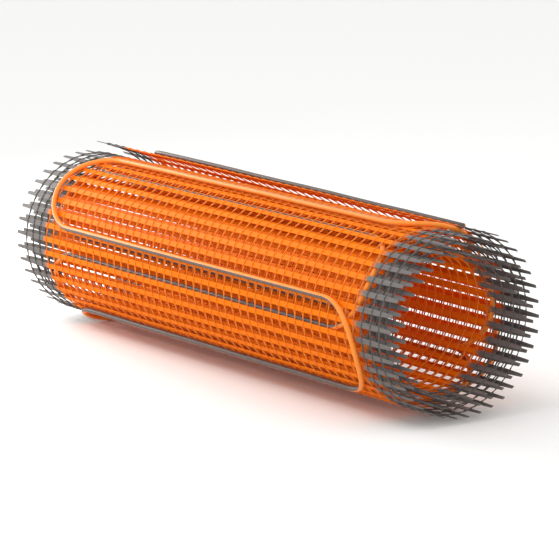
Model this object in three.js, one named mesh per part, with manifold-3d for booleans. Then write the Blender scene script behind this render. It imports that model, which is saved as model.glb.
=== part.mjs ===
// Underfloor heating mat, delivered as a roll: a woven mesh mat wound in a loose spiral, with one
// heating cable laid in loops across its outer face. Millimetres, the roll's axis along X, +Z up.
import * as THREE from "three";
import Module from "manifold-3d";

const wasm = await Module();
wasm.setup();

// Driving dimensions
const MAT_WIDTH = 500;
const ROLL_RADIUS = 68.45;
const TAPE_PITCH = 11.11;
const TAPE_COUNT = 106;
const TAPE_WIDTH = 4.2;
const MESH_THICKNESS = 1.2;
const TAPE_THICKNESS = 0.8;
const TAPE_OVERHANG = 15;
const OPENINGS_ACROSS = 3;
const OPENING_SPACING = 10;
const OPENING_INSET = 0.2;
const CABLE_DIAMETER = 3.8;
const CABLE_SEAT_GAP = 0.3;
const TURN_SLACK = 0.23;
const TURN_LOOSENING = 0.3;
const LOOP_SPACING = 73.4;
const LOOP_EDGE_MARGIN = 40;
const FIRST_RUN_INSET = 8;
const CABLE_END_MARGIN = 47;
const FREE_EDGE_ANGLE = 24.3;

// Resolution of the round forms
const CABLE_SIDES = 8;
const SEGMENTS_PER_BEND = 14;
const WINDING_PASSES = 8;

// The spiral: each turn lies inside the last, with room for the cable between them. The outer turn
// is the tightest, and each one further in lies a little looser.
const FULL_TURN = 2 * Math.PI;
const FIRST_TURN_DROP = MESH_THICKNESS + CABLE_SEAT_GAP + CABLE_DIAMETER + TURN_SLACK;
const RADIUS_LOSS = (FIRST_TURN_DROP - TURN_LOOSENING / 2) / FULL_TURN;
const LOSS_GROWTH = TURN_LOOSENING / FULL_TURN ** 2;
const MAT_LENGTH = TAPE_PITCH * (TAPE_COUNT - 1);
const THREAD_SPAN = MAT_WIDTH - 2 * TAPE_OVERHANG;

// Radius of the mat's outer face, once the spiral has turned through this angle.
function radiusAfter(turned) {
  return ROLL_RADIUS - RADIUS_LOSS * turned - (LOSS_GROWTH * turned ** 2) / 2;
}

// Length of mat that has been wound by then.
function lengthAfter(turned) {
  return ROLL_RADIUS * turned - (RADIUS_LOSS * turned ** 2) / 2 - (LOSS_GROWTH * turned ** 3) / 6;
}

// The angle that the spiral has turned through, this far along the mat from its free edge.
function turnedAt(along) {
  let turned = along / ROLL_RADIUS;
  for (let pass = 0; pass < WINDING_PASSES; pass += 1) {
    turned -= (lengthAfter(turned) - along) / radiusAfter(turned);
  }
  return turned;
}

function radiusAt(along) {
  return radiusAfter(turnedAt(along));
}

// A point of the cross-section, lifted off the mat's outer face. The free edge is near the top,
// and the mat goes down the far side from there.
function sectionPoint(along, lift) {
  const radius = radiusAt(along) + lift;
  const angle = THREE.MathUtils.degToRad(FREE_EDGE_ANGLE) + turnedAt(along);
  return new THREE.Vector2(radius * Math.sin(angle), radius * Math.cos(angle));
}

// A closed outline in the cross-section, extruded along the roll's axis and centred on it.
function extrudedAlongRoll(outline, length) {
  const shape = new THREE.Shape(outline);
  const geometry = new THREE.ExtrudeGeometry(shape, { depth: length, bevelEnabled: false });
  geometry.translate(0, 0, -length / 2);
  // The outline's own axes become Y and Z, and its depth becomes X.
  const toRoll = new THREE.Matrix4().makeBasis(
    new THREE.Vector3(0, 1, 0),
    new THREE.Vector3(0, 0, 1),
    new THREE.Vector3(1, 0, 0),
  );
  geometry.applyMatrix4(toRoll);
  return geometry;
}

function toSolid(geometry) {
  const position = geometry.getAttribute("position");
  const index = geometry.index ? geometry.index.array : [...Array(position.count).keys()];
  const mesh = new wasm.Mesh({
    numProp: 3,
    vertProperties: new Float32Array(position.array),
    triVerts: new Uint32Array(index),
  });
  mesh.merge();
  return new wasm.Manifold(mesh);
}

function toMesh(solid, name, color) {
  const made = solid.getMesh();
  const geometry = new THREE.BufferGeometry();
  geometry.setAttribute("position", new THREE.BufferAttribute(made.vertProperties, 3));
  geometry.setIndex(new THREE.BufferAttribute(made.triVerts, 1));
  const mesh = new THREE.Mesh(geometry, new THREE.MeshStandardMaterial({ color }));
  mesh.name = name;
  return mesh;
}

// The openings between two neighbouring cross tapes. The fine mesh has a thread every 10 mm, and a
// few wide openings stand in for its many small ones.
function openingsAfter(tape) {
  const start = tape * TAPE_PITCH + TAPE_WIDTH / 2 + OPENING_INSET;
  const end = (tape + 1) * TAPE_PITCH - TAPE_WIDTH / 2 - OPENING_INSET;
  const outline = [
    sectionPoint(start, MESH_THICKNESS),
    sectionPoint(end, MESH_THICKNESS),
    sectionPoint(end, -2 * MESH_THICKNESS),
    sectionPoint(start, -2 * MESH_THICKNESS),
  ];
  const pitch = (THREAD_SPAN - OPENING_SPACING) / OPENINGS_ACROSS;
  const opening = toSolid(extrudedAlongRoll(outline, pitch - OPENING_SPACING));
  const places = [...Array(OPENINGS_ACROSS).keys()];
  return places.map((place) => {
    const across = (place - (OPENINGS_ACROSS - 1) / 2) * pitch;
    return opening.translate([across, 0, 0]);
  });
}

// The woven field between the two outermost threads, with a flat facet at each tape and another
// between each two.
function wovenField() {
  const outer = [];
  const inner = [];
  const addStation = (along) => {
    outer.push(sectionPoint(along, 0));
    inner.push(sectionPoint(along, -MESH_THICKNESS));
  };
  for (let tape = 0; tape < TAPE_COUNT; tape += 1) {
    addStation(tape * TAPE_PITCH - TAPE_WIDTH / 2);
    addStation(tape * TAPE_PITCH + TAPE_WIDTH / 2);
  }
  const band = toSolid(extrudedAlongRoll([...outer, ...inner.reverse()], THREAD_SPAN));
  const openings = [];
  for (let tape = 0; tape < TAPE_COUNT - 1; tape += 1) {
    openings.push(...openingsAfter(tape));
  }
  return wasm.Manifold.difference([band, ...openings]);
}

// One cross tape, which runs the full width and stands out past the outermost threads.
function crossTape(tape) {
  const along = tape * TAPE_PITCH;
  const inset = (MESH_THICKNESS - TAPE_THICKNESS) / 2;
  const half = TAPE_WIDTH / 2 - inset;
  const centre = sectionPoint(along, -MESH_THICKNESS / 2);
  const drop = radiusAt(along) * (1 - Math.cos(TAPE_WIDTH / 2 / radiusAt(along)));
  const outward = sectionPoint(along, 1).sub(sectionPoint(along, 0));
  const sideways = new THREE.Vector2(outward.y, -outward.x);
  centre.addScaledVector(outward, -drop);
  const corner = (side, up) =>
    centre
      .clone()
      .addScaledVector(sideways, side * half)
      .addScaledVector(outward, (up * TAPE_THICKNESS) / 2);
  const outline = [corner(1, 1), corner(-1, 1), corner(-1, -1), corner(1, -1)];
  return toSolid(extrudedAlongRoll(outline, MAT_WIDTH));
}

function meshMat() {
  const pieces = [wovenField()];
  for (let tape = 0; tape < TAPE_COUNT; tape += 1) {
    pieces.push(crossTape(tape));
  }
  return toMesh(wasm.Manifold.union(pieces), "mesh_mat", "#e8760f");
}

// The cable's middle line: straight runs across the mat, joined by half-circle bends.
class CableRoute extends THREE.Curve {
  constructor() {
    super();
    this.bendRadius = LOOP_SPACING / 2;
    this.straight = MAT_WIDTH / 2 - LOOP_EDGE_MARGIN - CABLE_DIAMETER / 2 - this.bendRadius;
    this.runs = Math.floor((MAT_LENGTH - 2 * FIRST_RUN_INSET) / LOOP_SPACING) + 1;
    this.steps = this.runs + (this.runs - 1) * SEGMENTS_PER_BEND;
  }

  // Place on the flat mat: across it, and along it from the free edge.
  flatPlace(step) {
    const cycle = SEGMENTS_PER_BEND + 1;
    const run = Math.min(Math.floor(step / cycle), this.runs - 1);
    const inCycle = step - run * cycle;
    const side = run % 2 === 0 ? 1 : -1;
    const start = FIRST_RUN_INSET + run * LOOP_SPACING;
    if (inCycle <= 1) {
      const cableEnd = MAT_WIDTH / 2 - CABLE_END_MARGIN;
      const from = side * (run === 0 ? cableEnd : this.straight);
      const to = -side * (run === this.runs - 1 ? cableEnd : this.straight);
      return { across: THREE.MathUtils.lerp(from, to, inCycle), along: start };
    }
    const turn = (Math.PI * (inCycle - 1)) / SEGMENTS_PER_BEND;
    return {
      across: -side * (this.straight + this.bendRadius * Math.sin(turn)),
      along: start + this.bendRadius * (1 - Math.cos(turn)),
    };
  }

  getPoint(t) {
    const { across, along } = this.flatPlace(t * this.steps);
    const place = sectionPoint(along, CABLE_SEAT_GAP + CABLE_DIAMETER / 2);
    return new THREE.Vector3(across, place.x, place.y);
  }

  // The stations stay where the straight runs and the bends need them.
  getUtoTmapping(u) {
    return u;
  }
}

function heatingCable() {
  const route = new CableRoute();
  const section = new THREE.Shape();
  for (let side = 0; side < CABLE_SIDES; side += 1) {
    const turn = (2 * Math.PI * side) / CABLE_SIDES;
    const x = (CABLE_DIAMETER / 2) * Math.cos(turn);
    const y = (CABLE_DIAMETER / 2) * Math.sin(turn);
    if (side === 0) section.moveTo(x, y);
    else section.lineTo(x, y);
  }
  section.closePath();
  const geometry = new THREE.ExtrudeGeometry(section, { steps: route.steps, extrudePath: route });
  return toMesh(toSolid(geometry), "heating_cable", "#f08a2c");
}

// The finished roll lies on its cable, and the origin is on the floor under its middle.
const heatingMat = new THREE.Group();
heatingMat.name = "underfloor_heating_mat";
heatingMat.add(meshMat());
heatingMat.add(heatingCable());
const bounds = new THREE.Box3().setFromObject(heatingMat);
const centre = bounds.getCenter(new THREE.Vector3());
heatingMat.position.set(-centre.x, -centre.y, -bounds.min.z);
heatingMat.updateMatrixWorld(true);

export default heatingMat;
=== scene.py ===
import math
import random

import bmesh
import bpy
from mathutils import Matrix, Vector, noise


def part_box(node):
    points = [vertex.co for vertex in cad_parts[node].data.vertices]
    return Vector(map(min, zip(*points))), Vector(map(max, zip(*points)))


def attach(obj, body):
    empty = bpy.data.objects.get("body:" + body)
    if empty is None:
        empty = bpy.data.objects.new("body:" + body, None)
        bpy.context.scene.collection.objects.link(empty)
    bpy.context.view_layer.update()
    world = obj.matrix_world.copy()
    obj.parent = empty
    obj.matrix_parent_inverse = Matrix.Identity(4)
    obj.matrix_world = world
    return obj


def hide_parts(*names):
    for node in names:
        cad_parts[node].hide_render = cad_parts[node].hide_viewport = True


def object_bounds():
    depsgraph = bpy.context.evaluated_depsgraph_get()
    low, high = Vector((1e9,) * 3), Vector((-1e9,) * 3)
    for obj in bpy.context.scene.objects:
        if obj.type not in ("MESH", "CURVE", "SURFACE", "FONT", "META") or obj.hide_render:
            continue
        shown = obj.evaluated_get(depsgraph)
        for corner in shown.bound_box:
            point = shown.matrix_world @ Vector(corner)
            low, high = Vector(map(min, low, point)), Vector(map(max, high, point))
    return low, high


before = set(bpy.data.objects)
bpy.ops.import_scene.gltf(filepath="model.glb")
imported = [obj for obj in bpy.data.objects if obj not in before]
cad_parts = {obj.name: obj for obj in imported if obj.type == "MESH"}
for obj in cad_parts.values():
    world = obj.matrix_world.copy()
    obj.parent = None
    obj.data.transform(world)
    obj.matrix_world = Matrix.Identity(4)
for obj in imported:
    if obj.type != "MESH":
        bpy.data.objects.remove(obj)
cad_low, cad_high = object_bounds()

# Cross tapes
# Flat ribbons of coated glass fibre run across the whole width of the mat and carry it. Their ends
# are cut square and stand free past the outermost threads, so they read as a comb at each edge.
mm = 0.001
mat_width = cad_high.x - cad_low.x
roll_radius = 68.45 * mm
full_turn = 2 * math.pi
turn_loosening = 0.3 * mm
first_turn_drop = 5.53 * mm
radius_loss = (first_turn_drop - turn_loosening / 2) / full_turn
loss_growth = turn_loosening / full_turn**2
winding_passes = 6
free_edge_angle = math.radians(24.3)
mesh_thickness = 1.2 * mm
tape_count = 106
tape_pitch = 11.11 * mm
tape_width = 4.2 * mm
tape_end_width = 2.5 * mm
tape_thickness = 0.6 * mm
tape_edge_round = 0.18 * mm
tape_spans = 25
tape_end_wander = 1.6 * mm
tape_sway = 0.5 * mm
tape_sway_length = 80 * mm
tape_sway_step = 3.7
tape_cutting_seed = 3
tape_overhang = 15 * mm
thread_reach = mat_width / 2 - tape_overhang
roll_slackness = 0.35 * mm
slack_patch = 70 * mm
weave_wander = 3 * mm
weave_wander_length = 220 * mm
weave_seed = 31.1
flap_length = 170 * mm
flap_lift = 2.4 * mm
flap_skew = math.radians(13)
mesh_middle = -mesh_thickness / 2


def radius_after(turned):
    """Radius of the mat's outer face, once the spiral has turned through this angle."""
    return roll_radius - radius_loss * turned - loss_growth * turned**2 / 2


def turned_at(along):
    """The angle that the spiral has turned through, this far along the mat from its free edge."""
    turned = along / roll_radius
    for _ in range(winding_passes):
        wound = roll_radius * turned - radius_loss * turned**2 / 2 - loss_growth * turned**3 / 6
        turned -= (wound - along) / radius_after(turned)
    return turned


def section_place(along, above, skew=0):
    """Where a point this far along the flat mat, and above its outer face, lies in the roll."""
    turned = turned_at(along)
    reach = radius_after(turned) + above
    angle = free_edge_angle + turned - skew
    return Vector((0, reach * math.sin(angle), reach * math.cos(angle)))


# The roll's axis is where the same spiral fills the box of the CAD mat.
field_edge = [
    section_place(tape * tape_pitch + side * tape_width / 2, 0)
    for tape in range(tape_count)
    for side in (-1, 1)
]
mat_low, mat_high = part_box("mesh_mat")
roll_axis = Vector((
    0,
    mat_low.y - min(place.y for place in field_edge),
    mat_low.z - min(place.z for place in field_edge),
))


def wind_up(piece):
    """Winds a mat piece modelled flat, with x across, y along and z above, into the roll."""
    for vert in piece.verts:
        across, along, above = vert.co
        slack = roll_slackness * noise.noise(Vector((across, along, 0)) / slack_patch)
        # The spacing of the tapes wanders along the mat. The seed is picked, not measured, so that
        # the turns cover each other's gaps about as much as they do in the photo.
        along += weave_wander * noise.noise(Vector((0, along / weave_wander_length, weave_seed)))
        # The free edge stands off the roll at the left end, and lies a little askew there.
        loose = max(0, 1 - along / flap_length) ** 2 * (0.5 - across / mat_width)
        place = section_place(along, above + slack + loose * flap_lift, loose * flap_skew)
        vert.co = roll_axis + Vector((across, place.y, place.z))


def finish_piece(piece, name, material, smooth):
    """Turns a wound piece into an object that rides with the mat."""
    mesh = bpy.data.meshes.new(name)
    bmesh.ops.recalc_face_normals(piece, faces=piece.faces)
    piece.to_mesh(mesh)
    piece.free()
    if smooth:
        mesh.shade_smooth()
    else:
        mesh.shade_flat()
    mesh.materials.append(material)
    made = bpy.data.objects.new(name, mesh)
    bpy.context.scene.collection.objects.link(made)
    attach(made, "root")
    return made


def copies_of(piece, geometry, shift):
    """Copies part of a flat piece, moves the copy, and gives back its vertices."""
    made = bmesh.ops.duplicate(piece, geom=geometry)["geom"]
    verts = [item for item in made if isinstance(item, bmesh.types.BMVert)]
    bmesh.ops.translate(piece, verts=verts, vec=shift)
    return verts


def linear(hex_colour):
    """An sRGB hex colour as a linear RGBA value."""
    channels = [int(hex_colour[i:i + 2], 16) / 255 for i in (1, 3, 5)]
    return [c / 12.92 if c <= 0.04045 else ((c + 0.055) / 1.055) ** 2.4 for c in channels] + [1]


def add_node(tree, kind, inputs, **settings):
    """Adds a node with its settings, and sets or links its inputs."""
    made = tree.nodes.new(kind)
    for name, value in settings.items():
        setattr(made, name, value)
    for socket, value in inputs.items():
        if isinstance(value, bpy.types.NodeSocket):
            tree.links.new(value, made.inputs[socket])
        else:
            made.inputs[socket].default_value = value
    return made


# Coated glass roving: a dull resin skin over parallel fibres, orange over the heated field and bare
# grey at both edges. Fine streaks run along each tape, and the colour is a little uneven.
field_half = 210 * mm
field_fade = 4 * mm
tape_coat = bpy.data.materials.new("resin_coated_glass_tape")
tape_coat.use_nodes = True
tree = tape_coat.node_tree
surface = tree.nodes["Principled BSDF"]
place = add_node(tree, "ShaderNodeTexCoord", {}).outputs["Object"]
across = add_node(tree, "ShaderNodeSeparateXYZ", {"Vector": place}).outputs["X"]
from_middle = add_node(tree, "ShaderNodeMath", {0: across}, operation="ABSOLUTE").outputs[0]
patches = add_node(tree, "ShaderNodeTexNoise", {"Vector": place, "Scale": 1 / (9 * mm)})
wander = add_node(
    tree, "ShaderNodeMath", {0: patches.outputs["Fac"], 1: 12 * mm, 2: from_middle},
    operation="MULTIPLY_ADD",
).outputs[0]
bare = add_node(
    tree, "ShaderNodeMapRange",
    {"Value": wander, "From Min": field_half, "From Max": field_half + field_fade * 2},
    interpolation_type="SMOOTHSTEP",
).outputs["Result"]
along_fibre = add_node(
    tree, "ShaderNodeMapping",
    {"Vector": place, "Scale": (1 / (14 * mm), 1 / (0.5 * mm), 1 / (0.5 * mm))},
).outputs["Vector"]
fibres = add_node(
    tree, "ShaderNodeTexNoise", {"Vector": along_fibre, "Scale": 1, "Detail": 3},
).outputs["Fac"]
broad = add_node(
    tree, "ShaderNodeTexNoise", {"Vector": place, "Scale": 1 / (35 * mm), "Detail": 2},
).outputs["Fac"]
orange = add_node(
    tree, "ShaderNodeMix",
    {0: broad, 6: linear("#f97900"), 7: linear("#ff8b00")},
    data_type="RGBA",
).outputs[2]
grey = add_node(
    tree, "ShaderNodeMix",
    {0: fibres, 6: linear("#5a5653"), 7: linear("#847f7c")},
    data_type="RGBA",
).outputs[2]
streaked = add_node(
    tree, "ShaderNodeMix",
    {0: fibres, 6: linear("#e66c00"), 7: orange},
    data_type="RGBA",
).outputs[2]
coat_colour = add_node(
    tree, "ShaderNodeMix", {0: bare, 6: streaked, 7: grey}, data_type="RGBA",
).outputs[2]
tree.links.new(coat_colour, surface.inputs["Base Color"])
coat_roughness = add_node(
    tree, "ShaderNodeMapRange", {"Value": fibres, "To Min": 0.42, "To Max": 0.62},
).outputs["Result"]
tree.links.new(coat_roughness, surface.inputs["Roughness"])
surface.inputs["Specular IOR Level"].default_value = 0.06
fibre_bump = add_node(
    tree, "ShaderNodeBump", {"Height": fibres, "Strength": 0.35, "Distance": 0.12 * mm},
).outputs["Normal"]
tree.links.new(fibre_bump, surface.inputs["Normal"])

tapes = bmesh.new()
bmesh.ops.create_cube(tapes, size=1)
bmesh.ops.scale(tapes, vec=(mat_width, tape_width, tape_thickness), verts=tapes.verts)
long_edges = [e for e in tapes.edges if abs(e.verts[0].co.x - e.verts[1].co.x) > tape_width]
bmesh.ops.bevel(
    tapes, geom=long_edges, offset=tape_edge_round, segments=1, profile=0.5,
    affect="EDGES", material=-1,
)
long_edges = [e for e in tapes.edges if abs(e.verts[0].co.x - e.verts[1].co.x) > tape_width]
bmesh.ops.subdivide_edges(tapes, edges=long_edges, cuts=tape_spans - 1)
bmesh.ops.translate(tapes, verts=tapes.verts, vec=(0, 0, mesh_middle))
first_tape = tapes.verts[:] + tapes.edges[:] + tapes.faces[:]
cutting = random.Random(tape_cutting_seed)
for tape in range(1, tape_count):
    verts = copies_of(tapes, first_tape, (0, tape * tape_pitch, 0))
    for end in (-1, 1):
        short = cutting.uniform(0, tape_end_wander)
        for vert in verts:
            if vert.co.x * end > mat_width / 2 - tape_width:
                vert.co.x -= end * short
# Each end narrows over its last span, to its least width at the tip.
for vert in tapes.verts:
    tape = round(vert.co.y / tape_pitch)
    beyond = max(0, abs(vert.co.x) - thread_reach) / tape_overhang
    narrowing = 1 - (1 - tape_end_width / tape_width) * min(1, beyond * 2)
    vert.co.y = tape * tape_pitch + (vert.co.y - tape * tape_pitch) * narrowing
    swaying_at = Vector((vert.co.x / tape_sway_length, tape * tape_sway_step, 0))
    vert.co.y += tape_sway * noise.noise(swaying_at)
wind_up(tapes)
mesh_tapes = finish_piece(tapes, "mesh_tapes", tape_coat, smooth=False)
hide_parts("mesh_mat")

# Long threads
# Pairs of thin glass yarns run round the roll, twisted about each other between the tapes, so that
# one passes over each tape and its partner under it. Woven with the tapes and coated with them.
thread_count = 48
thread_radius = 0.42 * mm
thread_sides = 4
thread_sink = 0.7
thread_lift = tape_thickness / 2 + thread_radius * thread_sink
thread_swing = 0.3 * mm
thread_field_half = 203 * mm
thread_pitch = 2 * thread_reach / (thread_count - 1)

# Coated glass yarn: lighter, peach lines across the gaps, a little pinker than the tapes. The extra
# lightness is painted highlight for the light the round strands catch. It also lifts the shade they
# take where they cross the tapes. They are bare grey at both edges.
yarn = bpy.data.materials.new("resin_coated_glass_yarn")
yarn.use_nodes = True
tree = yarn.node_tree
surface = tree.nodes["Principled BSDF"]
place = add_node(tree, "ShaderNodeTexCoord", {}).outputs["Object"]
across = add_node(tree, "ShaderNodeSeparateXYZ", {"Vector": place}).outputs["X"]
from_middle = add_node(tree, "ShaderNodeMath", {0: across}, operation="ABSOLUTE").outputs[0]
bare = add_node(
    tree, "ShaderNodeMapRange",
    {
        "Value": from_middle,
        "From Min": thread_field_half,
        "From Max": thread_field_half + 2 * field_fade,
    },
    interpolation_type="SMOOTHSTEP",
).outputs["Result"]
twist = add_node(
    tree, "ShaderNodeTexNoise", {"Vector": place, "Scale": 1 / (1.5 * mm), "Detail": 2},
).outputs["Fac"]
# Painted highlight: the threads' field colour is lifted above the tapes' orange.
painted_highlight_peach_yarn = add_node(
    tree, "ShaderNodeMix",
    {0: twist, 6: linear("#f07e28"), 7: linear("#fb9340")},
    data_type="RGBA",
).outputs[2]
grey_yarn = add_node(
    tree, "ShaderNodeMix",
    {0: twist, 6: linear("#4e4a48"), 7: linear("#767270")},
    data_type="RGBA",
).outputs[2]
yarn_colour = add_node(
    tree, "ShaderNodeMix", {0: bare, 6: painted_highlight_peach_yarn, 7: grey_yarn}, data_type="RGBA",
).outputs[2]
tree.links.new(yarn_colour, surface.inputs["Base Color"])
yarn_roughness = add_node(
    tree, "ShaderNodeMapRange", {"Value": twist, "To Min": 0.5, "To Max": 0.65},
).outputs["Result"]
tree.links.new(yarn_roughness, surface.inputs["Roughness"])
surface.inputs["Specular IOR Level"].default_value = 0.06



def clear_inside(piece):
    """Takes out the end faces that the extrusions left inside a strand."""
    inner = [f for f in piece.faces if all(len(e.link_faces) > 2 for e in f.edges)]
    bmesh.ops.delete(piece, geom=inner, context="FACES_ONLY")


threads = bmesh.new()
for partner in (-1, 1):
    made = bmesh.ops.create_circle(
        threads, cap_ends=True, segments=thread_sides, radius=thread_radius,
        matrix=Matrix.Translation((0, -tape_width / 2, mesh_middle))
        @ Matrix.Rotation(math.radians(90), 4, "X"),
    )
    end_face = made["verts"][0].link_faces[0]
    at = Vector((0, -tape_width / 2, 0))
    for step in range(2 * tape_count):
        over = partner * (1 if step // 2 % 2 else -1)
        if step % 2 == 0:
            to = Vector((0, step / 2 * tape_pitch, over * thread_lift))
        else:
            to = Vector((over * thread_swing, step / 2 * tape_pitch, 0))
        if step == 2 * tape_count - 1:
            to = Vector((0, (tape_count - 1) * tape_pitch + tape_width / 2, 0))
        made = bmesh.ops.extrude_face_region(threads, geom=[end_face])["geom"]
        verts = [item for item in made if isinstance(item, bmesh.types.BMVert)]
        end_face = [item for item in made if isinstance(item, bmesh.types.BMFace)][0]
        bmesh.ops.translate(threads, verts=verts, vec=to - at)
        at = to
clear_inside(threads)
first_pair = threads.verts[:] + threads.edges[:] + threads.faces[:]
for thread in range(1, thread_count):
    copies_of(threads, first_pair, (thread * thread_pitch, 0, 0))
bmesh.ops.translate(
    threads, verts=threads.verts, vec=(-thread_pitch * (thread_count - 1) / 2, 0, 0),
)
wind_up(threads)
mesh_threads = finish_piece(threads, "mesh_threads", yarn, smooth=True)

# Heating cable
# One round twin cable with an extruded sheath, laid on the outer face of the mesh in loops and
# glued down. Its sheath is orange with one grey flank, which stays on the same side of the cable.
cable_diameter = 3.8 * mm
cable_seat_gap = 0.3 * mm
cable_sides = 16
cable_end_round = 0.9 * mm
loop_spacing = 73.4 * mm
loop_edge_margin = 40 * mm
first_run_inset = 8 * mm
cable_end_margin = 47 * mm
run_spans = 12
bend_spans = 24
grey_half_edge = -0.1
bend_orange_gain = 0.85
grey_edge_blur = 0.12
cable_middle = cable_seat_gap + cable_diameter / 2
bend_radius = loop_spacing / 2
run_half = mat_width / 2 - loop_edge_margin - cable_diameter / 2 - bend_radius
mat_length = tape_pitch * (tape_count - 1)
run_count = int((mat_length - 2 * first_run_inset) / loop_spacing) + 1

# Extruded plastic sheath: smooth and satin, and a little mottled. The photo shows it orange on the
# bends and partly grey on the straight runs, so the edge of the grey flank moves out on the bends.
sheath = bpy.data.materials.new("extruded_cable_sheath")
sheath.use_nodes = True
tree = sheath.node_tree
surface = tree.nodes["Principled BSDF"]
flank = add_node(tree, "ShaderNodeAttribute", {}, attribute_name="flank").outputs["Fac"]
bend = add_node(tree, "ShaderNodeAttribute", {}, attribute_name="bend").outputs["Fac"]
place = add_node(tree, "ShaderNodeTexCoord", {}).outputs["Object"]
mottle = add_node(
    tree, "ShaderNodeTexNoise", {"Vector": place, "Scale": 1 / (6 * mm), "Detail": 4},
).outputs["Fac"]
edge = add_node(
    tree, "ShaderNodeMath", {0: bend, 1: bend_orange_gain, 2: grey_half_edge}, operation="MULTIPLY_ADD",
).outputs[0]
side = add_node(tree, "ShaderNodeMath", {0: flank, 1: edge}, operation="SUBTRACT").outputs[0]
grey_share = add_node(
    tree, "ShaderNodeMapRange",
    {"Value": side, "From Min": -grey_edge_blur, "From Max": grey_edge_blur},
    interpolation_type="SMOOTHSTEP",
).outputs["Result"]
peach = add_node(
    tree, "ShaderNodeMix",
    {0: mottle, 6: linear("#f78324"), 7: linear("#ff9a3e")},
    data_type="RGBA",
).outputs[2]
slate = add_node(
    tree, "ShaderNodeMix",
    {0: mottle, 6: linear("#544a46"), 7: linear("#6c605a")},
    data_type="RGBA",
).outputs[2]
sheath_colour = add_node(
    tree, "ShaderNodeMix", {0: grey_share, 6: peach, 7: slate}, data_type="RGBA",
).outputs[2]
tree.links.new(sheath_colour, surface.inputs["Base Color"])
sheath_roughness = add_node(
    tree, "ShaderNodeMapRange", {"Value": mottle, "To Min": 0.34, "To Max": 0.46},
).outputs["Result"]
tree.links.new(sheath_roughness, surface.inputs["Roughness"])
surface.inputs["Specular IOR Level"].default_value = 0.25
sheath_bump = add_node(
    tree, "ShaderNodeBump", {"Height": mottle, "Strength": 0.15, "Distance": 0.1 * mm},
).outputs["Normal"]
tree.links.new(sheath_bump, surface.inputs["Normal"])

cable = bmesh.new()
flank_layer = cable.verts.layers.float.new("flank")
bend_layer = cable.verts.layers.float.new("bend")
start = Vector((mat_width / 2 - cable_end_margin, first_run_inset, cable_middle))
made = bmesh.ops.create_circle(
    cable, cap_ends=True, segments=cable_sides, radius=cable_diameter / 2,
    matrix=Matrix.Translation(start) @ Matrix.Rotation(math.radians(90), 4, "Y"),
)
for vert in made["verts"]:
    vert[flank_layer] = (start.y - vert.co.y) / (cable_diameter / 2)
end_face = made["verts"][0].link_faces[0]


def lay_on(end_face, bent):
    """Extrudes the cable's end by one ring, and gives back its vertices and new end."""
    made = bmesh.ops.extrude_face_region(cable, geom=[end_face])["geom"]
    verts = [item for item in made if isinstance(item, bmesh.types.BMVert)]
    for vert in verts:
        vert[bend_layer] = bent
    return verts, [item for item in made if isinstance(item, bmesh.types.BMFace)][0]


at = start.x
for run in range(run_count):
    side = 1 if run % 2 == 0 else -1
    last = run == run_count - 1
    to = -side * (mat_width / 2 - cable_end_margin if last else run_half)
    for _ in range(run_spans):
        verts, end_face = lay_on(end_face, 0)
        bmesh.ops.translate(cable, verts=verts, vec=((to - at) / run_spans, 0, 0))
    at = to
    if last:
        break
    centre = Vector((to, first_run_inset + (run + 0.5) * loop_spacing, 0))
    for span in range(bend_spans):
        bent = math.sin(math.pi * (span + 1) / bend_spans)
        verts, end_face = lay_on(end_face, bent)
        turn = Matrix.Rotation(-side * math.pi / bend_spans, 3, "Z")
        bmesh.ops.rotate(cable, verts=verts, cent=centre, matrix=turn)
clear_inside(cable)
end_rims = [e for e in cable.edges if any(len(f.verts) == cable_sides for f in e.link_faces)]
bmesh.ops.bevel(
    cable, geom=end_rims, offset=cable_end_round, segments=2, profile=0.5,
    affect="EDGES", material=-1,
)
wind_up(cable)
cable_sheath = finish_piece(cable, "cable_sheath", sheath, smooth=True)
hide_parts("heating_cable")

# Floor
# A wide sheet of white paper that the roll lies on. It runs on far behind the roll, so that no
# edge of it shows. It belongs to the scene and not to the part.
# Matt studio paper: nearly white, so that the roll's shadow on it stays pale.
paper = bpy.data.materials.new("white_studio_paper")
paper.use_nodes = True
paper.node_tree.nodes["Principled BSDF"].inputs["Base Color"].default_value = linear("#f4f4f2")
paper.node_tree.nodes["Principled BSDF"].inputs["Roughness"].default_value = 0.9
floor_half = 6
sweep = bmesh.new()
bmesh.ops.create_grid(sweep, x_segments=1, y_segments=1, size=floor_half)
paper_mesh = bpy.data.meshes.new("studio_floor")
sweep.to_mesh(paper_mesh)
sweep.free()
paper_mesh.materials.append(paper)
studio_floor = bpy.data.objects.new("studio_floor", paper_mesh)
bpy.context.scene.collection.objects.link(studio_floor)

# Light
# A white room with one large soft lamp over the near side, and a weaker one that lights the grey
# tips at the left end.
bpy.context.scene.view_settings.view_transform = "Standard"
world = bpy.data.worlds.new("white_room")
world.use_nodes = True
world.node_tree.nodes["Background"].inputs["Color"].default_value = linear("#ffffff")
world.node_tree.nodes["Background"].inputs["Strength"].default_value = 1
bpy.context.scene.world = world
for name, at, power, size in (
    ("soft_key", Vector((0.2, -1.0, 1.9)), 9, 1.0),
    ("end_fill", Vector((-0.75, -0.2, 0.3)), 5, 0.4),
):
    lamp = bpy.data.lights.new(name, "AREA")
    lamp.energy = power
    lamp.size = size
    lamp_object = bpy.data.objects.new(name, lamp)
    lamp_object.location = at
    lamp_object.rotation_euler = (-at).to_track_quat("-Z", "Y").to_euler()
    bpy.context.scene.collection.objects.link(lamp_object)

# Camera
# A long lens from the front right, a little above the roll, as the photo was taken.
camera = bpy.data.cameras.new("photo_camera")
camera.lens = 221.1
camera_stand = Vector((2.0938, -1.4590, 0.4780))
camera_aim = Vector((0.0091, 0.0113, -0.0049))
camera.clip_end = 60
camera_object = bpy.data.objects.new("photo_camera", camera)
camera_object.location = roll_axis + camera_stand
aim = roll_axis + camera_aim
camera_object.rotation_euler = (
    (aim - camera_object.location).to_track_quat("-Z", "Y").to_euler()
)
bpy.context.scene.collection.objects.link(camera_object)
bpy.context.scene.camera = camera_object
